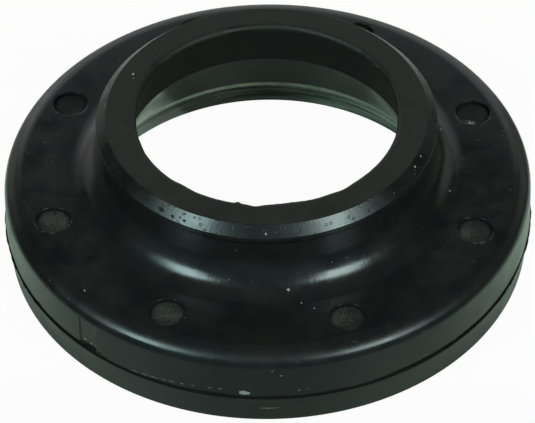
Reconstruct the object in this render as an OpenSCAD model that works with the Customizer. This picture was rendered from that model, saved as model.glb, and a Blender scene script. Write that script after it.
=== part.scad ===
// Coil spring insulator: one moulded rubber ring between a coil spring and its perch.
// The origin is the centre of the floor face, and +Z runs up through the collar.

/* [Flange] */
// Diameter of the outer wall at the parting line
flange_d = 147.2; // [140:0.2:170]
// Height of the coil seat above the floor
seat_h = 23.8; // [18:0.1:32]
// Height of the parting line above the floor
parting_h = 9.3; // [5:0.1:11]
// Draft of the outer wall above the parting line, in degrees
draft_above = 2.5; // [0.5:0.1:4]
// Draft of the outer wall below the parting line, in degrees
draft_below = 4.8; // [0.5:0.1:6]
// Radius of the rounded rim between the coil seat and the outer wall
rim_r = 5; // [3:0.1:7.8]
// Radius of the small round on the floor's outer edge
floor_edge_r = 0.8; // [0.4:0.1:1.5]

/* [Parting line] */
// How far the moulding flash stands out from the wall
flash_out = 0.4; // [0.2:0.05:0.8]
// Thickness of the moulding flash
flash_t = 0.6; // [0.3:0.05:0.8]
// Depth of the fine groove under the flash
flash_groove = 0.25; // [0.1:0.05:0.5]

/* [Collar] */
// Height of the collar above the coil seat
collar_h = 20; // [16:0.1:26]
// Diameter of the lip that guides the inside of the coil
lip_d = 93.4; // [90:0.1:98]
// Width and height of the lead-in chamfer on the lip
lip_chamfer = 2.75; // [1:0.05:4]
// Height of the straight band on the lip
lip_band = 1.4; // [0.6:0.1:3]
// How far the neck lies inside the lip
neck_undercut = 1.1; // [0.4:0.1:2]
// Radius of the cove between the neck and the coil seat
cove_r = 9.5; // [6:0.1:10]

/* [Hollow] */
// Diameter of the opening at the top face, before its edge is rounded
mouth_d = 71.6; // [66:0.1:76]
// Radius of the round on the opening's edge
mouth_round = 1; // [0.3:0.1:2]
// Diameter of the hollow where the collar's bore meets the upper cone
knee_d = 78.2; // [76.5:0.1:80]
// Height of that knee above the coil seat
knee_h = 5.3; // [3:0.1:8]
// Diameter of the upper cone at the perch step
step_d = 96; // [92:0.1:100]
// Height of the perch step above the floor
step_h = 12.4; // [9:0.1:15]
// How far the perch step is set back into the wall
step_back = 0.8; // [0.4:0.1:1.6]
// Diameter of the hollow at the floor
skirt_d = 107.4; // [103:0.1:112]
// Chamfer round the hollow at the floor
skirt_chamfer = 0.5; // [0.3:0.1:1]

/* [Pin marks] */
// Number of mould pin marks in the coil seat
pin_marks = 8; // [4:1:12]
// Diameter of the circle that the pin marks stand on
pin_circle_d = 124; // [122:0.5:128]
// Diameter of one pin mark
pin_mark_d = 10; // [6:0.5:12]
// Depth of one pin mark
pin_mark_depth = 1.2; // [0.5:0.1:3]

/* [Gate mark] */
// Width of the shallow gate mark in the outer wall
gate_w = 6.2; // [5:0.1:12]
// Depth of the gate mark at its middle
gate_depth = 0.6; // [0.4:0.1:1.2]
// Height of the gate mark's top above the parting line
gate_top = 10.4; // [7:0.1:12]
// Direction of the gate mark, in degrees from +X
gate_angle = -128; // [-170:1:-10]

/* [Hidden] */
$fn = 180;
part_r = flange_d / 2;
top_h = seat_h + collar_h;
lip_r = lip_d / 2;
neck_r = lip_r - neck_undercut;
lip_low = top_h - lip_chamfer - lip_band;
mouth_r = mouth_d / 2;
knee_r = knee_d / 2;
knee_z = seat_h + knee_h;
mouth_slope = (knee_r - mouth_r) / (top_h - knee_z);
// The mouth's round touches the leaning bore and the top face.
mouth_lean = atan(mouth_slope);
round_z = top_h - mouth_round;
round_x = mouth_r + mouth_round * mouth_slope + mouth_round / cos(mouth_lean);
step_r = step_d / 2;
skirt_r = skirt_d / 2;
floor_r = part_r - parting_h * tan(draft_below);
// The rim's centre lies one radius inside the drafted wall and one below the seat.
rim_z = seat_h - rim_r;
rim_x = part_r - (rim_z - parting_h) * tan(draft_above) - rim_r / cos(draft_above);
rim_end = [rim_x + rim_r * cos(draft_above), rim_z + rim_r * sin(draft_above)];
// The floor edge's centre lies one radius inside the wall that leans out below the flash.
edge_x = floor_r + floor_edge_r * tan(draft_below) - floor_edge_r / cos(draft_below);
edge_end = [edge_x + floor_edge_r * cos(draft_below),
            floor_edge_r - floor_edge_r * sin(draft_below)];
// Every cutter runs this far past the face that it cuts through.
past = 5;
mould_black = [0.16, 0.17, 0.17];

// Half section of the flange as a full disc, with its drafted wall, rim and floor edge
module flange_section() {
    polygon([[0, 0], [edge_x, 0], [edge_x, floor_edge_r], edge_end, [part_r, parting_h],
             rim_end, [rim_x, rim_z], [rim_x, seat_h], [0, seat_h]]);
    translate([rim_x, rim_z]) circle(r = rim_r);
    translate([edge_x, floor_edge_r]) circle(r = floor_edge_r);
}

// Half section of the collar as a full plug, with its lip, chamfer and neck
module collar_section() {
    polygon([[0, seat_h - 1], [neck_r, seat_h - 1], [neck_r, lip_low - neck_undercut],
             [lip_r, lip_low], [lip_r, lip_low + lip_band], [lip_r - lip_chamfer, top_h],
             [0, top_h]]);
}

// Fillet that carries the neck down into the coil seat
module cove_section() {
    difference() {
        translate([neck_r - 1, seat_h - 1]) square(cove_r + 1);
        translate([neck_r + cove_r, seat_h + cove_r]) circle(r = cove_r);
    }
}

// Thin fin of flash above the parting line
module flash_section() {
    translate([part_r - 1, parting_h]) square([1 + flash_out, flash_t]);
}

// Fine groove that the mould's step leaves under the flash
module groove_section() {
    polygon([[part_r - flash_groove, parting_h], [part_r + past, parting_h],
             [part_r + past, parting_h - flash_t], [part_r, parting_h - flash_t]]);
}

// Round that carries the bore over into the top face
module mouth_section() {
    difference() {
        polygon([[0, round_z - mouth_round * sin(mouth_lean)],
                 [round_x - mouth_round * cos(mouth_lean), round_z - mouth_round * sin(mouth_lean)],
                 [round_x, round_z], [round_x, top_h + past], [0, top_h + past]]);
        translate([round_x, round_z]) circle(r = mouth_round);
    }
}

// Space inside: bore through the collar, cone for the perch, step and skirt
module hollow_section() {
    skirt_slope = (skirt_r - step_r - step_back) / (step_h - step_back);
    polygon([[0, -past], [skirt_r + skirt_chamfer + past, -past], [skirt_r + skirt_chamfer, 0],
             [skirt_r - skirt_chamfer * skirt_slope, skirt_chamfer],
             [step_r + step_back, step_h - step_back], [step_r, step_h], [knee_r, knee_z],
             [mouth_r - past * mouth_slope, top_h + past], [0, top_h + past]]);
}

module ring_section() {
    difference() {
        union() {
            flange_section();
            collar_section();
            cove_section();
            flash_section();
        }
        groove_section();
        hollow_section();
        mouth_section();
    }
}

// One pin mark, cut down into the coil seat
module pin_mark() {
    translate([0, 0, seat_h - pin_mark_depth])
        cylinder(d = pin_mark_d, h = pin_mark_depth + past, $fn = 64);
}

// Shallow upright channel that a trimmed gate leaves in the wall above the parting line
module gate_mark() {
    inner = part_r - gate_depth;
    rotate([0, 0, gate_angle])
        translate([inner, -gate_w / 2, parting_h + flash_t])
            cube([gate_depth + past, gate_w, gate_top - flash_t]);
}

module insulator() {
    color(mould_black)
        difference() {
            rotate_extrude() ring_section();
            for (i = [0 : pin_marks - 1])
                rotate([0, 0, (i + 0.5) * 360 / pin_marks])
                    translate([pin_circle_d / 2, 0, 0]) pin_mark();
            gate_mark();
        }
}

insulator();
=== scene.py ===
# %% [markdown]
# # A coil spring insulator in moulded black rubber
# The real object is one piece of rubber from a two-part mould: a thick flange for the coil to
# stand on, a collar with a chamfered lip inside the coil, and a conical hollow below.
# The imported solid gives its true size, so we load it first and print the size of its box.

# %% Load the imported frame
import math

import bmesh
import bpy
from mathutils import Matrix, Vector, noise


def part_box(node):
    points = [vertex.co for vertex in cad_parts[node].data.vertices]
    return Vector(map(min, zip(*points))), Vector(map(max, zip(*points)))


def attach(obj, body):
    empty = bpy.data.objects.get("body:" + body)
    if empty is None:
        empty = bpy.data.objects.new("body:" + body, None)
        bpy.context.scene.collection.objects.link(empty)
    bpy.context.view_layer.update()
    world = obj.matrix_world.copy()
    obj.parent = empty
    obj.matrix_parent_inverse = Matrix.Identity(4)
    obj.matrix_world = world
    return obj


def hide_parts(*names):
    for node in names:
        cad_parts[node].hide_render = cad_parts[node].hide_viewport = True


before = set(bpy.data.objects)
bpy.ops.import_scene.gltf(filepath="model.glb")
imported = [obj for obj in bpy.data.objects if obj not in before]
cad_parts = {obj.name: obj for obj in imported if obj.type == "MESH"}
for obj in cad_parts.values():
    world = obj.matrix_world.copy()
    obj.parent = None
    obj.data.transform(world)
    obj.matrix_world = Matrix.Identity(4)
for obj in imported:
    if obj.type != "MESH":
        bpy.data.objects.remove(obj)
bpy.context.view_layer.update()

MM = 0.001
low_corner, high_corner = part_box("insulator")
print("solid in mm:", [round(v / MM, 2) for v in high_corner - low_corner])

# %% [markdown]
# ## The camera
# The photograph looks down on the ring through a long lens, from a little to the right of the
# part's front. A lens in pixels is the same thing as a lens in millimetres on a sensor: the
# ratio to the picture's width stays. We place the eye by its distance and angles, aim it at a
# point on the ring's axis, and roll it by less than a degree.

# %% Camera
PICTURE_W = 535
FOCAL_PX = 2563.0
SENSOR_MM = 36.0
SEAT_H = 23.8 * MM
EYE_DISTANCE = 711.9 * MM
EYE_ELEVATION = math.radians(43.07)
EYE_TURN = math.radians(3.16)
EYE_ROLL = math.radians(0.865)
AIM_HEIGHT = 5.65 * MM


def direction(turn, elevation):
    """Unit vector towards a place at a turn to the right of the front and an elevation."""
    level = math.cos(elevation)
    return Vector((math.sin(turn) * level, -math.cos(turn) * level, math.sin(elevation)))


eye = Vector((0, 0, SEAT_H)) + direction(EYE_TURN, EYE_ELEVATION) * EYE_DISTANCE
forward = (Vector((0, 0, AIM_HEIGHT)) - eye).normalized()
level_right = forward.cross(Vector((0, 0, 1))).normalized()
level_up = level_right.cross(forward)
right = level_right * math.cos(EYE_ROLL) - level_up * math.sin(EYE_ROLL)
up = level_up * math.cos(EYE_ROLL) + level_right * math.sin(EYE_ROLL)
camera_data = bpy.data.cameras.new("camera")
camera_data.sensor_width = SENSOR_MM
camera_data.lens = FOCAL_PX * SENSOR_MM / PICTURE_W
camera_data.shift_x = -0.5 / PICTURE_W
camera_data.shift_y = 0.5 / PICTURE_W
camera = bpy.data.objects.new("camera", camera_data)
camera.matrix_world = Matrix.Translation(eye) @ Matrix((right, up, -forward)).transposed().to_4x4()
bpy.context.collection.objects.link(camera)
bpy.context.scene.camera = camera
print("lens in mm:", round(camera_data.lens, 1))

# %% [markdown]
# ## Helpers for shader nodes
# Every material below is a small tree of nodes. One helper adds a node and sets or links its
# inputs by name, and short ones do the steps that come back all the time: a sum, a length, a
# fade between two limits, a mix of two colours.

# %% Node helpers
def add_node(tree, kind, settings=None, **inputs):
    """Adds a node, sets its properties, and sets or links the inputs that are named."""
    made = tree.nodes.new(kind)
    for key, value in (settings or {}).items():
        setattr(made, key, value)
    for key, value in inputs.items():
        socket = find_input(made, key)
        if isinstance(value, bpy.types.NodeSocket):
            tree.links.new(value, socket)
        else:
            socket.default_value = value
    return made


def find_input(made, key):
    """Input socket by its name with underscores, or by its number as in_0, in_1."""
    if key.startswith("in_"):
        return made.inputs[int(key[3:])]
    return made.inputs[key.replace("_", " ")]


def math_step(tree, operation, first, second=0.0, third=0.0):
    """One Math node; returns its output socket."""
    return add_node(tree, "ShaderNodeMath", {"operation": operation}, in_0=first, in_1=second,
                    in_2=third).outputs[0]


def vector_step(tree, operation, first, **inputs):
    """One Vector Math node; returns its output socket."""
    made = add_node(tree, "ShaderNodeVectorMath", {"operation": operation}, in_0=first, **inputs)
    return made.outputs["Value" if operation == "LENGTH" else "Vector"]


def split_vector(tree, vector):
    """Separate XYZ node; returns its three output sockets."""
    return add_node(tree, "ShaderNodeSeparateXYZ", Vector=vector).outputs


def join_vector(tree, x, y, z):
    """Combine XYZ node; returns its output socket."""
    return add_node(tree, "ShaderNodeCombineXYZ", X=x, Y=y, Z=z).outputs[0]


def remap(tree, value, low, high, out_low=0.0, out_high=1.0):
    """Map Range node that fades smoothly between two limits; returns its output socket."""
    made = add_node(tree, "ShaderNodeMapRange", {"interpolation_type": "SMOOTHSTEP"},
                    Value=value, From_Min=low, From_Max=high, To_Min=out_low, To_Max=out_high)
    return made.outputs["Result"]


def blend_colour(tree, factor, first, second):
    """Mix node for two colours; returns its output socket."""
    made = tree.nodes.new("ShaderNodeMix")
    made.data_type = "RGBA"
    for socket, value in ((made.inputs[0], factor), (made.inputs[6], first), (made.inputs[7], second)):
        if isinstance(value, bpy.types.NodeSocket):
            tree.links.new(value, socket)
        elif socket is made.inputs[0]:
            socket.default_value = value
        else:
            socket.default_value = (*value, 1.0)
    return made.outputs[2]


print("helpers for nodes in Blender", bpy.app.version_string)

# %% [markdown]
# ## Helpers for node groups
# A pattern that several materials use is a node group, built once. It gets named sockets, so
# that each material can set its own values, and it puts out a mask or a value, never a shader.

# %% Group helpers
FLOAT, VECTOR = "NodeSocketFloat", "NodeSocketVector"


def new_group(name, inputs, outputs):
    """Empty node group: inputs are (name, kind, default), outputs are (name, kind)."""
    tree = bpy.data.node_groups.new(name, "ShaderNodeTree")
    for socket_name, kind, default in inputs:
        made = tree.interface.new_socket(socket_name, in_out="INPUT", socket_type=kind)
        if default is not None:
            made.default_value = default
    for socket_name, kind in outputs:
        tree.interface.new_socket(socket_name, in_out="OUTPUT", socket_type=kind)
    return tree, tree.nodes.new("NodeGroupInput").outputs, tree.nodes.new("NodeGroupOutput").inputs


def use_group(tree, group, **inputs):
    """Places a node group in a tree and returns its output sockets."""
    return add_node(tree, "ShaderNodeGroup", {"node_tree": group}, **inputs).outputs


print("socket kinds:", FLOAT, VECTOR)

# %% [markdown]
# ## Lamps
# Black rubber shows little but reflections, so the lamps are set by what it reflects. Two
# softboxes stand to the front left and the front right, and draw the bright arcs on chamfer,
# cove and rim. Behind the ring a wide dim panel and two small glows light the flat seat.
# A lamp is given by its size in degrees and its radiance, because both can be read off a
# reflection in the photograph without knowing how far away the lamp stood.

# %% Lamps
def panel(name, turn, elevation, distance, wide, tall, brightness, colour):
    """Area lamp that faces the ring's seat: its size is given in degrees, its radiance as it is."""
    lamp = bpy.data.lights.new(name, "AREA")
    lamp.shape = "RECTANGLE"
    lamp.size = 2 * distance * math.tan(math.radians(wide / 2))
    lamp.size_y = 2 * distance * math.tan(math.radians(tall / 2))
    lamp.energy = brightness * math.pi * lamp.size * lamp.size_y
    lamp.color = colour
    made = bpy.data.objects.new(name, lamp)
    away = direction(EYE_TURN + math.radians(turn), math.radians(elevation))
    place = Vector((0, 0, SEAT_H)) + away * distance
    made.matrix_world = Matrix.Translation(place) @ away.to_track_quat("Z", "Y").to_matrix().to_4x4()
    made.visible_camera = False
    bpy.context.collection.objects.link(made)


panel("softbox_left", -53, 40, 1.4, 18, 21, 12.5, (0.72, 1.0, 1.0))
panel("softbox_right", 45.5, 39, 1.4, 20, 21, 12.5, (0.78, 1.0, 0.96))
panel("back_sweep", 180, 18, 1.6, 60, 42, 0.60, (0.90, 1.0, 1.0))
panel("left_glow", -142, 12, 1.6, 30, 28, 0.48, (1.0, 1.0, 1.0))
panel("back_right_glow", 133, 17, 1.6, 26, 22, 0.4, (0.95, 1.0, 0.90))
print("lamps:", [lamp.name for lamp in bpy.data.lights])

# %% [markdown]
# ## The table
# The table is a white sheet on a dark desk. It ends close to the ring in front and reaches far
# behind it, and that edge shows in the rim and the cove. The sheet's colour has painted shade:
# it is darker in front, and dimmer under the hollow, most of all to the sides. A strip beside
# the skirt glows with painted light where the lamps shine in through the mouth, and round and
# behind the ring the sheet glows with painted light, more to the right.
# To the camera the background is plain white, and a trace of the table's own shading keeps the
# object's shadow.

# %% Colours and limits of the table, in metres from the ring's axis
TABLE_SIZE = 6.0
SHEET_R, SHEET_EDGE, SHEET_BACK = 0.118, 0.004, 0.10
FRONT_FADE, FAR_FADE, DESK_FADE = (-0.082, -0.045), (0.065, 0.085), (-0.12, -0.02)
# Painted shade: under the hollow the sheet dims to the sides by the square of its distance
# from the middle, in square metres
HOLLOW_FADE, HOLLOW_SIDES = (0.056, 0.053), (0.00004, 0.00044)
# Painted light seen in reflections: a glowing strip beside the skirt, and a glow round the ring
STRIP_INSIDE, STRIP_OUTSIDE, STRIP_GLOW = (0.0507, 0.0514), (0.064, 0.056), 0.22
STRIP_LEFT, STRIP_RIGHT = (-0.0255, -0.0275, 0.15, 2.5), (0.010, 0.028, 0.0, 0.50)
GLOW_DEPTH, GLOW_BEHIND, GLOW_FRONT = (-0.065, 0.012), 0.74, 0.04
GLOW_START, GLOW_END, GLOW_RIGHT = (0.071, 0.080), (0.065, 0.030), (0.030, 0.070, 1.0, 1.75)
SHEET_ROUGH, DESK_ROUGH = 0.40, 0.12
SHEET_WHITE, SHEET_SHADED_FRONT, SHEET_FAR = (0.80, 0.80, 0.68), (0.34, 0.36, 0.32), (1.0, 0.86, 0.72)
SHEET_SHADED_HOLLOW, SHEET_SHADED_SIDES = (0.58, 0.58, 0.47), (0.27, 0.27, 0.22)
DESK_DARK, DESK_FRONT = (0.02, 0.02, 0.02), (0.10, 0.14, 0.15)
GLOSS_TINT = (0.74, 1.0, 0.80)
WHITE = (1.0, 1.0, 1.0)
CAMERA_WHITE_SHARE = 0.96
print("white sheet, radius in mm:", SHEET_R / MM)

# %% Table and its paint
table_mesh = bpy.data.meshes.new("table")
table_bm = bmesh.new()
bmesh.ops.create_grid(table_bm, x_segments=1, y_segments=1, size=TABLE_SIZE / 2)
table_bm.to_mesh(table_mesh)
table_bm.free()
table = bpy.data.objects.new("table", table_mesh)
bpy.context.collection.objects.link(table)

table_paint = bpy.data.materials.new("white_table")
table_paint.use_nodes = True
tree = table_paint.node_tree
tree.nodes.clear()
path = add_node(tree, "ShaderNodeLightPath")
place = add_node(tree, "ShaderNodeTexCoord").outputs["Object"]
seen = path.outputs["Is Camera Ray"]
reach = vector_step(tree, "LENGTH", place)
axes = split_vector(tree, place)
sideways, depth = axes["X"], axes["Y"]

# Where the sheet ends, and the painted shade on the part of it that lies under the hollow
inside = math_step(tree, "MULTIPLY_ADD", remap(tree, depth, 0.0, 0.06), -SHEET_BACK, reach)
beyond = remap(tree, inside, SHEET_R - SHEET_EDGE, SHEET_R + SHEET_EDGE)
unseen = math_step(tree, "SUBTRACT", 1.0, seen)
desk_share = math_step(tree, "MULTIPLY", beyond, unseen)
# Painted shade: the sheet is darker in front
sheet_colour = blend_colour(tree, remap(tree, depth, *FRONT_FADE), SHEET_SHADED_FRONT, SHEET_WHITE)
sheet_colour = blend_colour(tree, remap(tree, depth, *FAR_FADE), sheet_colour, SHEET_FAR)
in_hollow = math_step(tree, "MULTIPLY", remap(tree, reach, *HOLLOW_FADE), unseen)
off_centre = math_step(tree, "MULTIPLY", sideways, sideways)
hollow_shade_colour = blend_colour(tree, remap(tree, off_centre, *HOLLOW_SIDES), SHEET_SHADED_HOLLOW, SHEET_SHADED_SIDES)
sheet_colour = blend_colour(tree, in_hollow, sheet_colour, hollow_shade_colour)
desk_colour = blend_colour(tree, remap(tree, depth, *DESK_FADE), DESK_FRONT, DESK_DARK)
table_colour = blend_colour(tree, desk_share, sheet_colour, desk_colour)
table_rough = remap(tree, beyond, 0.0, 1.0, SHEET_ROUGH, DESK_ROUGH)
acrylic = add_node(tree, "ShaderNodeBsdfPrincipled", Base_Color=table_colour, Roughness=table_rough)

# How much plain white the camera sees, and the painted light that reflections see: a glowing
# strip beside the skirt and a glow round and behind the ring, stronger to the right
strip = math_step(tree, "MULTIPLY", remap(tree, reach, *STRIP_INSIDE),
                  remap(tree, reach, *STRIP_OUTSIDE))
strip_sides = math_step(tree, "ADD", remap(tree, sideways, *STRIP_LEFT),
                        remap(tree, sideways, *STRIP_RIGHT))
strip = math_step(tree, "MULTIPLY", strip, strip_sides)
painted_glow = math_step(tree, "MULTIPLY_ADD", remap(tree, depth, *GLOW_DEPTH), GLOW_BEHIND, GLOW_FRONT)
for fade in (remap(tree, reach, *GLOW_START), remap(tree, depth, *GLOW_END),
             remap(tree, sideways, *GLOW_RIGHT)):
    painted_glow = math_step(tree, "MULTIPLY", painted_glow, fade)
painted_glow = math_step(tree, "MULTIPLY_ADD", strip, STRIP_GLOW, painted_glow)
for fade in (math_step(tree, "SUBTRACT", 1.0, beyond), path.outputs["Is Glossy Ray"]):
    painted_glow = math_step(tree, "MULTIPLY", painted_glow, fade)
seen_white = blend_colour(tree, seen, GLOSS_TINT, WHITE)
plain_white = add_node(tree, "ShaderNodeEmission", Color=seen_white, Strength=1.0)
share = math_step(tree, "MULTIPLY_ADD", seen, CAMERA_WHITE_SHARE, painted_glow)
mixed = add_node(tree, "ShaderNodeMixShader", in_0=share, in_1=acrylic.outputs[0],
                 in_2=plain_white.outputs[0])
add_node(tree, "ShaderNodeOutputMaterial", Surface=mixed.outputs[0])
table_mesh.materials.append(table_paint)
print("nodes in the table's paint:", len(tree.nodes))

# %% [markdown]
# ## The room
# Past the table the camera sees plain white, but the rubber reflects a dim room: a little
# light from the front, where the camera stands, and a little from the ceiling.

# %% World
SIDE_GLOW, FRONT_GLOW, TOP_GLOW = (0.030, 0.032, 0.030), (0.075, 0.14, 0.155), (0.085, 0.105, 0.11)
TOWARDS_FRONT, TOWARDS_TOP = (-0.25, -0.80), (0.70, 0.97)

world = bpy.data.worlds.new("white_sweep")
bpy.context.scene.world = world
world.use_nodes = True
tree = world.node_tree
tree.nodes.clear()
ray = add_node(tree, "ShaderNodeTexCoord").outputs["Generated"]
ray_axes = split_vector(tree, ray)
glow = blend_colour(tree, remap(tree, ray_axes["Y"], *TOWARDS_FRONT), SIDE_GLOW, FRONT_GLOW)
glow = blend_colour(tree, remap(tree, ray_axes["Z"], *TOWARDS_TOP), glow, TOP_GLOW)
path = add_node(tree, "ShaderNodeLightPath")
sky_colour = blend_colour(tree, path.outputs["Is Camera Ray"], glow, WHITE)
sky = add_node(tree, "ShaderNodeBackground", Color=sky_colour, Strength=1.0)
add_node(tree, "ShaderNodeOutputWorld", Surface=sky.outputs[0])
bpy.context.scene.view_settings.view_transform = "Standard"
print("nodes in the world:", len(tree.nodes))

# %% [markdown]
# ## The section of the ring
# A ring like this is drawn as its section. We list only the sharp corners, each with the radius
# of its round. A vertex bevel on a flat face turns each corner into an arc, and the spin then
# carries the section round the axis. A list of ring after ring would give the same mesh, but
# nobody could read the shape from it.

# %% Section corners, in millimetres from the axis and the floor
SEAT = 23.8
TOP = 43.8
PARTING = 9.3
PART_R = 73.6
FLASH_OUT = 0.4
FLASH_T = 0.6
MOUTH_R = 35.5
COVE_R = 9.5
NECK_R = 45.6
DRAFT_ABOVE, DRAFT_BELOW = 2.5, 4.8
slope_above = math.tan(math.radians(DRAFT_ABOVE))
slope_below = math.tan(math.radians(DRAFT_BELOW))

CORNERS = [
    (MOUTH_R, TOP, 1.5, 8),
    (43.95, TOP, 0.45, 4),
    (46.7, 41.05, 0.4, 4),
    (46.7, 39.65, 0.4, 3),
    (NECK_R, 38.55, 0.8, 4),
    (NECK_R, SEAT, COVE_R, 28),
    (70.35, SEAT, 6.4, 14),
    (73.12, 21.0, 3.4, 12),
    (PART_R - 1.3 * slope_above, PARTING + 1.3, 0.0, 0),
    (PART_R - 0.95 * slope_above, PARTING + 0.95, 0.0, 0),
    (PART_R - FLASH_T * slope_above, PARTING + FLASH_T, 0.0, 0),
    (PART_R + FLASH_OUT, PARTING + FLASH_T - 0.05, 0.15, 2),
    (PART_R + FLASH_OUT, PARTING + 0.05, 0.15, 2),
    (PART_R - 0.25, PARTING, 0.1, 2),
    (PART_R - 0.5 * slope_below, PARTING - 0.5, 0.15, 2),
    (PART_R - PARTING * slope_below, 0.0, 0.3, 3),
    (54.2, 0.0, 0.0, 0),
    (53.5, 0.5, 0.0, 0),
    (48.8, 11.3, 0.15, 2),
    (48.0, 12.4, 0.25, 3),
    (39.1, 29.1, 1.5, 5),
]
print("corners of the section:", len(CORNERS))

# %% [markdown]
# ## From the section to the ring
# A vertex bevel needs a face, so the corners are joined to one for a moment. Long straight
# edges are cut into short ones, because the next step moves single vertices on them. The spin
# closes on itself with use_merge, and the outline has no end on the axis that needs a cap.

# %% Round the corners and spin
TURN_STEPS = 480
LONGEST_EDGE = 1.6


def rounded_section(corners):
    """Closed outline in the XZ plane, with an arc at each corner and short straight edges."""
    bm = bmesh.new()
    verts = [bm.verts.new((r * MM, 0, z * MM)) for r, z, radius, segments in corners]
    bm.faces.new(verts)
    for vert, (r, z, radius, segments) in zip(verts, corners):
        if radius:
            sides = [edge.other_vert(vert).co - vert.co for edge in vert.link_edges]
            reach = radius * MM / math.tan(sides[0].angle(sides[1]) / 2)
            bmesh.ops.bevel(bm, geom=[vert], offset=reach, offset_type="OFFSET", segments=segments,
                            profile=0.5, affect="VERTICES", material=-1)
    for edge in list(bm.edges):
        cuts = int(edge.calc_length() / (LONGEST_EDGE * MM))
        if cuts:
            bmesh.ops.subdivide_edges(bm, edges=[edge], cuts=cuts)
    bmesh.ops.delete(bm, geom=list(bm.faces), context="FACES_ONLY")
    return bm


ring = rounded_section(CORNERS)
print("points in the section:", len(ring.verts))
bmesh.ops.spin(ring, geom=list(ring.verts) + list(ring.edges), cent=(0, 0, 0), axis=(0, 0, 1),
               angle=math.tau, steps=TURN_STEPS, use_merge=True, use_duplicate=False)
bmesh.ops.remove_doubles(ring, verts=list(ring.verts), dist=0.01 * MM)
bmesh.ops.recalc_face_normals(ring, faces=list(ring.faces))
print("faces after the spin:", len(ring.faces))

# %% [markdown]
# ## Hand-trimmed mouth and torn flash
# Where the mould's halves meet, a thin skin of rubber squeezes out. It was torn off along the
# outer wall and cut off by hand round the mouth, so neither edge is true. We move the vertices
# of those two edges along the radius: a few named cuts at the mouth, and fine noise on the flash.
# On two sides the skin tore into the wall, so there we also push a ragged groove in above it.

# %% Places of the cuts, and ways to move a vertex
# Each cut: direction from the camera's front in degrees, half width, and how far it goes outward
MOUTH_CUTS = [
    (-90, 22, -0.55), (-72, 8, -0.25), (-38, 8, -0.28), (-12.6, 1.7, -0.65), (-5.5, 4.5, 0.50),
    (8, 12, -0.45), (33, 7, 0.42), (93, 18, -0.45), (112, 6, 0.35), (123, 4, -0.30), (133, 5, 0.35),
    (150, 9, -0.20),
]
TRIM_DEPTH = 3.0
# Sides where the torn flash left a ragged groove: direction and half width in degrees
TORN_SIDES = [(62, 40), (-60, 26)]


def seen_turn(point):
    """Direction of a point in degrees, from the camera's front, right positive."""
    turn = math.degrees(math.atan2(point.x, -point.y)) - math.degrees(EYE_TURN)
    return (turn + 180) % 360 - 180


def hump(distance, half_width):
    """Smooth hump that is 1 in the middle and 0 past the half width."""
    return 0.5 + 0.5 * math.cos(math.pi * min(abs(distance) / half_width, 1))


def push_out(vert, amount):
    """Moves a vertex along its own radius, in millimetres."""
    level = Vector((vert.co.x, vert.co.y, 0)).normalized()
    vert.co += level * amount * MM


def fine_noise(point, frequency, offset):
    """Noise from -1 to 1 at a place, with a frequency in cycles per metre."""
    return noise.noise(point * frequency + Vector((offset, 0, 0)))


print("hand cuts at the mouth:", len(MOUTH_CUTS))

# %% [markdown]
# ## Move the edges
# The height and the radius tell which edge a vertex belongs to. At the mouth the move fades out
# below the edge, so the bore stays round. Noise is read at the vertex's own place, so the result
# is the same each run.

# %% Move the vertices of the edges that are not true
TORN_DEPTH = 0.55
moved = 0
for vert in ring.verts:
    before = vert.co.copy()
    radius = math.hypot(vert.co.x, vert.co.y) / MM
    up_z = vert.co.z / MM
    if radius < MOUTH_R + 1.6 and up_z > TOP - TRIM_DEPTH:
        cut = sum(depth * hump(seen_turn(vert.co) - turn, half) for turn, half, depth in MOUTH_CUTS)
        cut += 0.07 * fine_noise(vert.co, 900, 3.1) + 0.08 * fine_noise(vert.co, 250, 7.7)
        push_out(vert, cut * (1 - (TOP - up_z) / TRIM_DEPTH) ** 0.5)
    elif radius > PART_R + 0.2 and PARTING - 0.3 < up_z < PARTING + FLASH_T + 0.3:
        ragged = 0.5 + 0.9 * fine_noise(vert.co, 180, 1.7) + 0.6 * fine_noise(vert.co, 700, 9.2)
        push_out(vert, -FLASH_OUT * 0.85 * max(0.0, min(1.0, ragged)))
        vert.co.z += 0.12 * MM * fine_noise(vert.co, 400, 5.5)
    elif radius > PART_R - 0.2 and PARTING + 0.5 < up_z < PARTING + 1.2:
        side = max(hump(seen_turn(vert.co) - turn, half) for turn, half in TORN_SIDES)
        ragged = 0.9 + 1.2 * fine_noise(vert.co, 260, 4.4) + 0.8 * fine_noise(vert.co, 900, 2.6)
        push_out(vert, -TORN_DEPTH * side ** 0.5 * max(0.0, min(1.3, ragged)))
    moved += vert.co != before
print("vertices moved:", moved)

# %% [markdown]
# ## Pin marks and gate mark
# Eight ejector pins left shallow round marks in the coil seat, and dirt has gathered in them.
# A trimmed gate left an upright channel in the wall. Both are cut with one Boolean, because the
# seat then stays a flat face with a clean edge round each mark. The tool for a pin mark is spun
# from a small profile: its floor has rings to roughen, and its top flares into a soft edge.

# %% Cutting tools
PIN_MARKS = 8
PIN_CIRCLE = 62.0
PIN_R = 4.85
PIN_DEPTH = 1.2
GATE_TURN = -41.2
GATE_W = 6.2
GATE_DEPTH = 0.6
GATE_LOW, GATE_HIGH = PARTING + FLASH_T + 0.1, 19.7


def pin_place(index):
    """Centre of a pin mark on the coil seat."""
    angle = math.radians((index + 0.5) * 360 / PIN_MARKS)
    return Vector((math.cos(angle), math.sin(angle), 0)) * PIN_CIRCLE * MM


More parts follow.
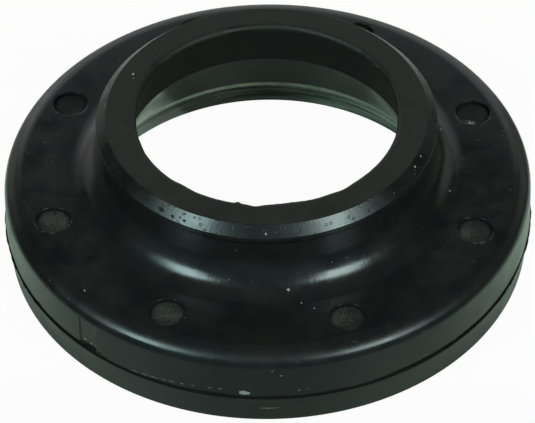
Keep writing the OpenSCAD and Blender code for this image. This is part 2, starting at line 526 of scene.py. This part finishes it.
def pin_tool(index):
    """Round cutter with a rough floor, standing on its pin mark."""
    bm = bmesh.new()
    profile = [(0, -PIN_DEPTH), (PIN_R - 0.15, -PIN_DEPTH), (PIN_R, -PIN_DEPTH + 0.4), (PIN_R, -0.15),
               (PIN_R + 0.03, -0.05), (PIN_R + 0.12, 0.02), (PIN_R + 0.12, 2.0), (0, 2.0)]
    verts = [bm.verts.new((r * MM, 0, z * MM)) for r, z in profile]
    edges = [bm.edges.new(pair) for pair in zip(verts, verts[1:])]
    bmesh.ops.subdivide_edges(bm, edges=edges[:1], cuts=9)
    bmesh.ops.spin(bm, geom=list(bm.verts) + list(bm.edges), cent=(0, 0, 0), axis=(0, 0, 1),
                   angle=math.tau, steps=56, use_merge=True, use_duplicate=False)
    bmesh.ops.remove_doubles(bm, verts=list(bm.verts), dist=0.005 * MM)
    for vert in bm.verts:
        reach = math.hypot(vert.co.x, vert.co.y) / MM
        if vert.co.z < -0.9 * PIN_DEPTH * MM:
            rough = 0.22 * fine_noise(vert.co, 500, 11.0 * index)
            rough += 0.16 * fine_noise(vert.co, 1300, index)
            vert.co.z += (0.12 + rough) * MM * min(1.0, (PIN_R - reach) / 0.8)
    bmesh.ops.translate(bm, verts=list(bm.verts), vec=pin_place(index) + Vector((0, 0, SEAT_H)))
    bmesh.ops.recalc_face_normals(bm, faces=list(bm.faces))
    return bm


def gate_tool():
    """Upright block with rounded long edges, which cuts the channel in the wall."""
    bm = bmesh.new()
    bmesh.ops.create_cube(bm, size=1.0)
    bmesh.ops.scale(bm, vec=Vector((8, GATE_W, GATE_HIGH - GATE_LOW)) * MM, verts=list(bm.verts))
    uprights = [e for e in bm.edges if abs(e.verts[0].co.z - e.verts[1].co.z) > 5 * MM]
    bmesh.ops.bevel(bm, geom=uprights, offset=0.8 * MM, segments=4, profile=0.5, affect="EDGES",
                    material=-1)
    middle = Vector((PART_R - GATE_DEPTH + 4.0, 0, (GATE_LOW + GATE_HIGH) / 2)) * MM
    bmesh.ops.translate(bm, verts=list(bm.verts), vec=middle)
    turn = math.radians(GATE_TURN) + EYE_TURN - math.pi / 2
    bmesh.ops.rotate(bm, verts=list(bm.verts), cent=(0, 0, 0), matrix=Matrix.Rotation(turn, 3, "Z"))
    return bm


def make_object(name, bm):
    """Turns a bmesh into an object whose mesh is already in its place."""
    mesh = bpy.data.meshes.new(name)
    bm.to_mesh(mesh)
    bm.free()
    made = bpy.data.objects.new(name, mesh)
    bpy.context.collection.objects.link(made)
    return made


tools_bm = bmesh.new()
for part_bm in [pin_tool(index) for index in range(PIN_MARKS)] + [gate_tool()]:
    part_mesh = bpy.data.meshes.new("tool")
    part_bm.to_mesh(part_mesh)
    part_bm.free()
    tools_bm.from_mesh(part_mesh)
    bpy.data.meshes.remove(part_mesh)
tools = make_object("cutting_tools", tools_bm)
insulator = make_object("rubber_insulator", ring)
print("faces of the tools:", len(tools.data.polygons))

# %% [markdown]
# ## Cut, and keep the result
# The modifier is worked out once and its mesh is kept, so the tools can go. Faces are shaded
# smooth up to 38 degrees, and weighted normals keep the flat seat flat beside its rounds.

# %% Cut
SMOOTH_UP_TO = 38
cut = insulator.modifiers.new("cut", "BOOLEAN")
cut.operation = "DIFFERENCE"
cut.solver = "EXACT"
cut.object = tools
depsgraph = bpy.context.evaluated_depsgraph_get()
cut_mesh = bpy.data.meshes.new_from_object(insulator.evaluated_get(depsgraph))
insulator.modifiers.clear()
insulator.data = cut_mesh
bpy.data.objects.remove(tools)
cut_mesh.polygons.foreach_set("use_smooth", [True] * len(cut_mesh.polygons))
cut_mesh.set_sharp_from_angle(angle=math.radians(SMOOTH_UP_TO))
even = insulator.modifiers.new("even_normals", "WEIGHTED_NORMAL")
even.keep_sharp = True
print("faces after the cut:", len(cut_mesh.polygons))

# %% [markdown]
# ## Patterns that the materials share
# The mould was turned and brushed, and that is still seen: fine strokes run up and down the
# section. Noise that is stretched along the section gives them, and it needs the direction
# round the axis and not the angle, which would leave a seam. Streaks run the other way, round
# the axis; on the skirt they carry painted sheen, grey that stands in for the lit table's reflection.

# %% Strokes and rub marks
def strokes_group():
    """Fine strokes that run along the section, as height from 0 to 1."""
    tree, inputs, outputs = new_group(
        "Mould strokes", [("Vector", VECTOR, None), ("Fineness", FLOAT, 90)], [("Height", FLOAT)])
    split = split_vector(tree, inputs["Vector"])
    flat = join_vector(tree, split["X"], split["Y"], 0.0)
    axes = split_vector(tree, vector_step(tree, "NORMALIZE", flat))
    reach = vector_step(tree, "LENGTH", flat)
    along = math_step(tree, "MULTIPLY", math_step(tree, "SUBTRACT", reach, split["Z"]), 3.0)
    place = join_vector(tree, axes["X"], axes["Y"], along)
    fine = add_node(tree, "ShaderNodeTexNoise", Vector=place, Scale=inputs["Fineness"], Detail=2.0,
                    Roughness=0.6)
    tree.links.new(fine.outputs["Fac"], outputs["Height"])
    return tree


def sheen_streaks_group():
    """Streaks that run round the axis, from 0 to 1; on the skirt they carry painted sheen."""
    tree, inputs, outputs = new_group(
        "Streaks and painted sheen", [("Vector", VECTOR, None), ("Per metre", FLOAT, 900), ("Length", FLOAT, 1.5)],
        [("Amount", FLOAT)])
    split = split_vector(tree, inputs["Vector"])
    level = vector_step(tree, "NORMALIZE", join_vector(tree, split["X"], split["Y"], 0.0))
    axes = split_vector(tree, vector_step(tree, "SCALE", level, Scale=inputs["Length"]))
    across = math_step(tree, "MULTIPLY", split["Z"], inputs["Per metre"])
    place = join_vector(tree, axes["X"], axes["Y"], across)
    bands = add_node(tree, "ShaderNodeTexNoise", Vector=place, Scale=1.0, Detail=4.0, Roughness=0.6)
    tree.links.new(remap(tree, bands.outputs["Fac"], 0.36, 0.66), outputs["Amount"])
    return tree


STROKES, SHEEN_STREAKS = strokes_group(), sheen_streaks_group()
print("groups:", STROKES.name, SHEEN_STREAKS.name)

# %% [markdown]
# ## Pits, dust and smudges
# Pits and dust are round cells of a Voronoi texture, of which only a share is chosen. Smudges
# are soft noise, and make the gloss and the tone uneven, as on rubber that hands have touched.

# %% Pits and smudges
def pits_group():
    """Small round pits, as a mask that is 1 in the pit."""
    tree, inputs, outputs = new_group(
        "Pits", [("Vector", VECTOR, None), ("Scale", FLOAT, 900), ("Share", FLOAT, 0.2),
                 ("Size", FLOAT, 0.3)], [("Mask", FLOAT)])
    cells = add_node(tree, "ShaderNodeTexVoronoi", Vector=inputs["Vector"], Scale=inputs["Scale"])
    chance = add_node(tree, "ShaderNodeSeparateColor", Color=cells.outputs["Color"]).outputs[0]
    chosen = math_step(tree, "LESS_THAN", chance, inputs["Share"])
    edge = math_step(tree, "SUBTRACT", inputs["Size"], cells.outputs["Distance"])
    dot = remap(tree, edge, 0.0, 0.12)
    tree.links.new(math_step(tree, "MULTIPLY", chosen, dot), outputs["Mask"])
    return tree


def smudge_group():
    """Broad, soft unevenness from 0 to 1, for gloss and tone."""
    tree, inputs, outputs = new_group("Smudges", [("Vector", VECTOR, None), ("Scale", FLOAT, 40)],
                                      [("Amount", FLOAT)])
    soft = add_node(tree, "ShaderNodeTexNoise", Vector=inputs["Vector"], Scale=inputs["Scale"],
                    Detail=5.0, Roughness=0.62, Distortion=0.3)
    tree.links.new(remap(tree, soft.outputs["Fac"], 0.32, 0.68), outputs["Amount"])
    return tree


PITS, SMUDGES = pits_group(), smudge_group()
print("groups:", PITS.name, SMUDGES.name)

# %% [markdown]
# ## Flecks in chosen places
# Chips and specks stand in single places. One group turns a point into its place on the ring,
# as degrees, distance from the axis and height, and another makes a small ragged mask round a
# chosen place. So a chip is placed by three numbers that can be read off the real part.

# %% Places and flecks
def ring_place_group():
    """Turns a position into direction in degrees, distance from the axis and height in mm."""
    tree, inputs, outputs = new_group("Ring place", [("Vector", VECTOR, None)], [("Place", VECTOR)])
    split = split_vector(tree, inputs["Vector"])
    reach = vector_step(tree, "LENGTH", join_vector(tree, split["X"], split["Y"], 0.0))
    turn = math_step(tree, "ARCTAN2", split["X"], math_step(tree, "MULTIPLY", split["Y"], -1.0))
    turn = math_step(tree, "MULTIPLY_ADD", turn, 180 / math.pi, -math.degrees(EYE_TURN))
    reach, height = (math_step(tree, "MULTIPLY", value, 1000.0) for value in (reach, split["Z"]))
    tree.links.new(join_vector(tree, turn, reach, height), outputs["Place"])
    return tree


def fleck_group():
    """One ragged fleck at a place on the ring, as a mask that is 1 in the fleck."""
    tree, inputs, outputs = new_group(
        "Fleck", [("Vector", VECTOR, None), ("Place", VECTOR, None), ("Centre", VECTOR, None),
                  ("Half size", VECTOR, None), ("Ragged", FLOAT, 1.2)], [("Mask", FLOAT)])
    away = vector_step(tree, "SUBTRACT", inputs["Place"], in_1=inputs["Centre"])
    away = vector_step(tree, "DIVIDE", away, in_1=inputs["Half size"])
    distance = vector_step(tree, "LENGTH", away)
    ragged = add_node(tree, "ShaderNodeTexNoise", Vector=inputs["Vector"], Scale=1500.0, Detail=3.0)
    grain = math_step(tree, "SUBTRACT", ragged.outputs["Fac"], 0.5)
    distance = math_step(tree, "MULTIPLY_ADD", grain, inputs["Ragged"], distance)
    tree.links.new(remap(tree, distance, 1.1, 0.75), outputs["Mask"])
    return tree


RING_PLACE, FLECK = ring_place_group(), fleck_group()
print("groups:", RING_PLACE.name, FLECK.name)

# %% [markdown]
# ## Where the chips and specks are
# The wall has a chip in front, a dashed line of dust beside the gate mark and a few specks, and
# dirt sticks in the pin marks. Each has its colour and its place, and a size of 9 mm stands for
# a direction in which the surface itself ends the fleck.

# %% Placed flecks
PALE, TAN, DARK = (0.34, 0.34, 0.28), (0.038, 0.035, 0.024), (0.002, 0.002, 0.002)
# A painted highlight for the light line along the gate mark's right edge
PAINTED_SHEEN = (0.040, 0.050, 0.046)

# Each fleck: colour, turn in degrees, distance from the axis, height, and half of its size in each
WALL_FLECKS = [
    (PALE, -5.4, 73.5, 11.1, 1.15, 9, 0.75), (PALE, 5.8, 73.5, 11.75, 0.22, 9, 0.16),
    (PALE, 7.5, 73.5, 12.0, 0.2, 9, 0.16), (PALE, 0.4, 73.2, 19.2, 0.2, 9, 0.15),
    (PALE, 2.2, 73.2, 17.5, 0.25, 9, 0.15), (PALE, -0.3, 73.7, 5.0, 2.2, 9, 0.1),
    (PALE, -42.2, 73.2, 12.1, 0.4, 9, 0.35), (PALE, -40.4, 73.2, 11.9, 0.35, 9, 0.3),
    (PALE, -39.1, 73.2, 12.4, 0.3, 9, 0.3), (DARK, -39.8, 73.2, 10.5, 2.6, 9, 1.0),
    (PALE, -45.8, 68.1, 23.7, 0.25, 0.25, 9), (PALE, 5.8, 50.0, 25.3, 0.45, 0.35, 9),
    (PALE, 76.2, 51.4, 24.5, 0.3, 0.25, 9), (PALE, 104.2, 50.5, 25.0, 0.3, 0.3, 9),
    (PALE, 12.0, 56.5, 23.8, 0.25, 0.2, 9), (PALE, 9.0, 54.0, 23.9, 0.2, 0.2, 9),
    (TAN, 37.0, 73.0, 19.0, 1.6, 9, 0.6), (TAN, 33.5, 72.8, 20.5, 0.5, 9, 0.25),
    # painted highlight on the gate mark's right edge
    (PAINTED_SHEEN, -38.5, 73.2, 14.4, 0.28, 9, 4.4),
] + [(PALE, turn, 73.4, 10.4 + 0.075 * (turn + 29.7), wide, 9, 0.09)
     for turn, wide in ((-29.0, 0.9), (-26.6, 0.7), (-24.5, 0.9), (-22.3, 0.6), (-20.6, 0.8),
                        (-18.4, 0.5), (-16.0, 0.4), (-12.6, 0.5), (-10.3, 0.4))]
EDGE_FLECKS = [
    (PALE, -0.8, 45.7, 42.0, 0.3, 0.2, 9), (PALE, 61.0, 45.0, 42.7, 0.4, 0.25, 9),
    (PALE, 66.5, 44.8, 43.0, 0.35, 0.25, 9), (PALE, -95.2, 44.4, 43.4, 0.3, 0.25, 9),
    (DARK, -38.0, 45.6, 42.1, 1.3, 0.4, 9), (DARK, -33.0, 45.9, 41.8, 0.8, 0.3, 9),
    (DARK, -45.0, 45.3, 42.4, 1.6, 0.5, 9), (DARK, -28.5, 45.8, 41.9, 0.7, 0.25, 9),
]
TOP_FLECKS = [(PALE, -114.0, 40.2, 43.8, 0.7, 0.3, 9), (PALE, -111.5, 39.3, 43.8, 0.3, 0.25, 9)]
GRIT_PATCHES = [
    (TAN, -70.0, 59.6, 22.6, 4.6, 2.0, 9), (TAN, -72.5, 62.5, 22.6, 3.0, 2.2, 9),
    (TAN, -112.4, 59.2, 22.6, 2.6, 1.8, 9), (PALE, -111.5, 58.6, 22.6, 0.6, 0.5, 9),
    (TAN, -26.0, 61.5, 22.6, 3.6, 2.8, 9), (TAN, 16.2, 60.3, 22.6, 3.4, 2.8, 9),
    (TAN, 62.6, 59.6, 22.6, 3.4, 1.8, 9), (PALE, 105.8, 59.9, 22.6, 1.5, 1.3, 9),
]
print("flecks:", sum(map(len, (WALL_FLECKS, EDGE_FLECKS, TOP_FLECKS, GRIT_PATCHES))))

# %% [markdown]
# ## One rubber
# One function builds a rubber from its colour, its gloss and how much it has of each pattern.
# Height goes in as metres, so a stroke of five thousandths of a millimetre is written as it is.
# The rim and the neck are duller than the seat, because hands and the coil have rubbed them.

# %% Rubber
GREY_DUST = (0.20, 0.20, 0.17)
WARM_TINT = (1.9, 1.5, 1.05)
COVE_EDGE, RIM_EDGE, NECK_EDGE = (56.0, 52.5), (69.0, 72.0), (48.0, 46.2)
STROKES_OUTSIDE, RIM_ROUGH, NECK_ROUGH, FLECK_ROUGH = 0.22, 0.12, 0.12, 0.8
PIT_DEPTH, SPECK_HEIGHT, MICRON = -60e-6, 20e-6, 1e-6
# Painted sheen on the skirt: grey streaks for the lit table's reflection, stronger to the right
SHEEN_SIDES, SHEEN_RIGHT = (-0.01, 0.026), 4.5


def rubber(name, colour, gloss, stroke_um, grain_um, pits, dust, sheen_share=0.0, sheen_colour=GREY_DUST,
           streak_length=1.5, specular=0.5, flecks=(), ragged=1.2, shade=0.72):
    """Rubber: gloss is (lowest, highest) roughness, pits and dust are shares of cells."""
    made = bpy.data.materials.new(name)
    made.use_nodes = True
    tree = made.node_tree
    tree.nodes.clear()
    place = add_node(tree, "ShaderNodeTexCoord").outputs["Object"]
    smudge = use_group(tree, SMUDGES, Vector=place, Scale=45.0)["Amount"]
    stroke = use_group(tree, STROKES, Vector=place, Fineness=85.0)["Height"]
    pit = use_group(tree, PITS, Vector=place, Scale=700.0, Share=pits, Size=0.32)["Mask"]
    speck = use_group(tree, PITS, Vector=place, Scale=1000.0, Share=dust, Size=0.20)["Mask"]
    grain = add_node(tree, "ShaderNodeTexNoise", Vector=place, Scale=1600.0, Detail=2.0).outputs["Fac"]
    on_ring = use_group(tree, RING_PLACE, Vector=place)["Place"]
    reach = split_vector(tree, on_ring)["Y"]
    in_cove = remap(tree, reach, *COVE_EDGE, STROKES_OUTSIDE, 1.0)
    stroke = math_step(tree, "MULTIPLY", stroke, in_cove)
    height = math_step(tree, "MULTIPLY", stroke, stroke_um * MICRON)
    height = math_step(tree, "MULTIPLY_ADD", grain, grain_um * MICRON, height)
    height = math_step(tree, "MULTIPLY_ADD", pit, PIT_DEPTH, height)
    height = math_step(tree, "MULTIPLY_ADD", speck, SPECK_HEIGHT, height)
    bump = add_node(tree, "ShaderNodeBump", Strength=1.0, Distance=1.0, Height=height)
    base = blend_colour(tree, smudge, tuple(shade * c for c in colour), colour)
    tone = use_group(tree, SMUDGES, Vector=place, Scale=140.0)["Amount"]
    warm = tuple(c * tint for c, tint in zip(colour, WARM_TINT))
    base = blend_colour(tree, math_step(tree, "MULTIPLY", tone, 0.45), base, warm)
    # Painted sheen: grey streaks stand in for the lit table's reflection, stronger to the right
    if sheen_share:
        mark = use_group(tree, SHEEN_STREAKS, Vector=place, Length=streak_length)["Amount"]
        sideways = split_vector(tree, place)["X"]
        mark = math_step(tree, "MULTIPLY", mark,
                         remap(tree, sideways, *SHEEN_SIDES, sheen_share, SHEEN_RIGHT * sheen_share))
        base = blend_colour(tree, mark, base, sheen_colour)
    base = blend_colour(tree, speck, base, GREY_DUST)
    covered = speck
    for fleck_colour, turn, out, level, *half in flecks:
        fleck = use_group(tree, FLECK, Vector=place, Place=on_ring, Centre=(turn, out, level),
                          Half_size=tuple(half), Ragged=ragged)["Mask"]
        base = blend_colour(tree, fleck, base, fleck_colour)
        covered = math_step(tree, "MAXIMUM", covered, fleck)
    rough = math_step(tree, "MULTIPLY_ADD", smudge, gloss[1] - gloss[0], gloss[0])
    rough = math_step(tree, "MULTIPLY_ADD", math_step(tree, "SUBTRACT", tone, 0.5), 0.06, rough)
    rough = math_step(tree, "ADD", rough, remap(tree, reach, *RIM_EDGE, 0.0, RIM_ROUGH))
    rough = math_step(tree, "ADD", rough, remap(tree, reach, *NECK_EDGE, 0.0, NECK_ROUGH))
    rough = math_step(tree, "MAXIMUM", rough, math_step(tree, "MULTIPLY", covered, FLECK_ROUGH))
    skin = add_node(tree, "ShaderNodeBsdfPrincipled", Base_Color=base, Roughness=rough,
                    Normal=bump.outputs["Normal"])
    skin.inputs["IOR"].default_value = 1.5
    skin.inputs["Specular IOR Level"].default_value = specular
    add_node(tree, "ShaderNodeOutputMaterial", Surface=skin.outputs[0])
    return made


print("dust colour:", GREY_DUST)

# %% [markdown]
# ## The finishes
# The seat and the wall have the mould's gloss, the chamfer is pitted, and the top face was cut
# and is dull. The inside of the hollow has four finishes, because the bore is dull, the cone
# is glossy, the ledge is pale grey as a painted highlight, and the skirt has painted sheen
# over its streaks.

# %% Finishes
FINISHES = {
    "moulded": rubber("moulded_skin", (0.0100, 0.0108, 0.0108), (0.17, 0.27), 24, 3, 0.025, 0.010,
                      flecks=WALL_FLECKS),
    "chamfer": rubber("chamfer_skin", (0.0078, 0.0092, 0.0092), (0.13, 0.25), 12, 7, 0.35, 0.020,
                      flecks=EDGE_FLECKS),
    "cut": rubber("cut_top_face", (0.0130, 0.0136, 0.0102), (0.32, 0.56), 0, 6, 0.0, 0.020,
                  flecks=TOP_FLECKS, shade=0.55),
    "bore": rubber("bore_wall", (0.0105, 0.0115, 0.0115), (0.40, 0.50), 4, 3, 0.0, 0.008,
                   specular=0.35),
    "cone": rubber("cone_wall", (0.0062, 0.0074, 0.0066), (0.02, 0.10), 3, 2, 0.0, 0.006),
    # The skirt's streaks are real; its lighter base and the grey of its streaks are painted sheen
    "skirt": rubber("skirt_wall", (0.0240, 0.0280, 0.0220), (0.20, 0.34), 0, 3, 0.0, 0.01, 0.21,
                    (0.42, 0.50, 0.42), 2.2, specular=0.12),
    # The ledge's pale grey is a painted highlight
    "ledge": rubber("ledge_painted_highlight", (0.42, 0.48, 0.41), (0.24, 0.34), 0, 4, 0.0, 0.0),
    # The torn flash is real; its dark colour and low specular are painted shade for the seam's shadow
    "flash": rubber("torn_flash_painted_shade", (0.006, 0.006, 0.006), (0.8, 0.95), 0, 20, 0.0, 0.0, specular=0.2),
    "grit": rubber("pin_mark_grit", (0.010, 0.011, 0.009), (0.7, 0.9), 0, 40, 0.2, 0.06,
                   flecks=GRIT_PATCHES, ragged=5.0),
}
print("finishes:", list(FINISHES))

# %% [markdown]
# ## Which face has which finish
# The height, the distance from the axis and the direction of a face tell where on the section it
# lies. This needs no selection by hand and holds after the Boolean, which renumbers the faces.

# %% Choose each face's finish
def finish_at(centre, normal):
    """Name of the finish that a face of the ring has, by its place."""
    level = Vector((centre.x, centre.y, 0))
    radius, height_mm = level.length / MM, centre.z / MM
    inward = normal.dot(level.normalized()) < -0.15
    if height_mm > TOP - 0.1 and normal.z > 0.9 or height_mm > TOP - 1.55 and radius < 38:
        return "cut"
    if height_mm > TOP - 2.8 and 43.9 < radius:
        return "chamfer"
    if inward and radius < 54.5:
        for name, lowest in (("bore", 29.0), ("cone", 12.5), ("ledge", 10.3), ("skirt", -1.0)):
            if height_mm > lowest:
                return name
    if radius > PART_R - 0.4 and PARTING - 0.55 < height_mm < PARTING + FLASH_T + 0.02:
        return "flash"
    to_mark = min((level - pin_place(index)).length for index in range(PIN_MARKS))
    if to_mark < (PIN_R - 0.1) * MM and SEAT - 2 < height_mm < SEAT - 0.5:
        return "grit"
    return "moulded"


for finish in FINISHES.values():
    insulator.data.materials.append(finish)
names = list(FINISHES)
for face in insulator.data.polygons:
    face.material_index = names.index(finish_at(face.center, face.normal))
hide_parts("insulator")
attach(insulator, "root")
print("faces with a finish:", len(insulator.data.polygons))
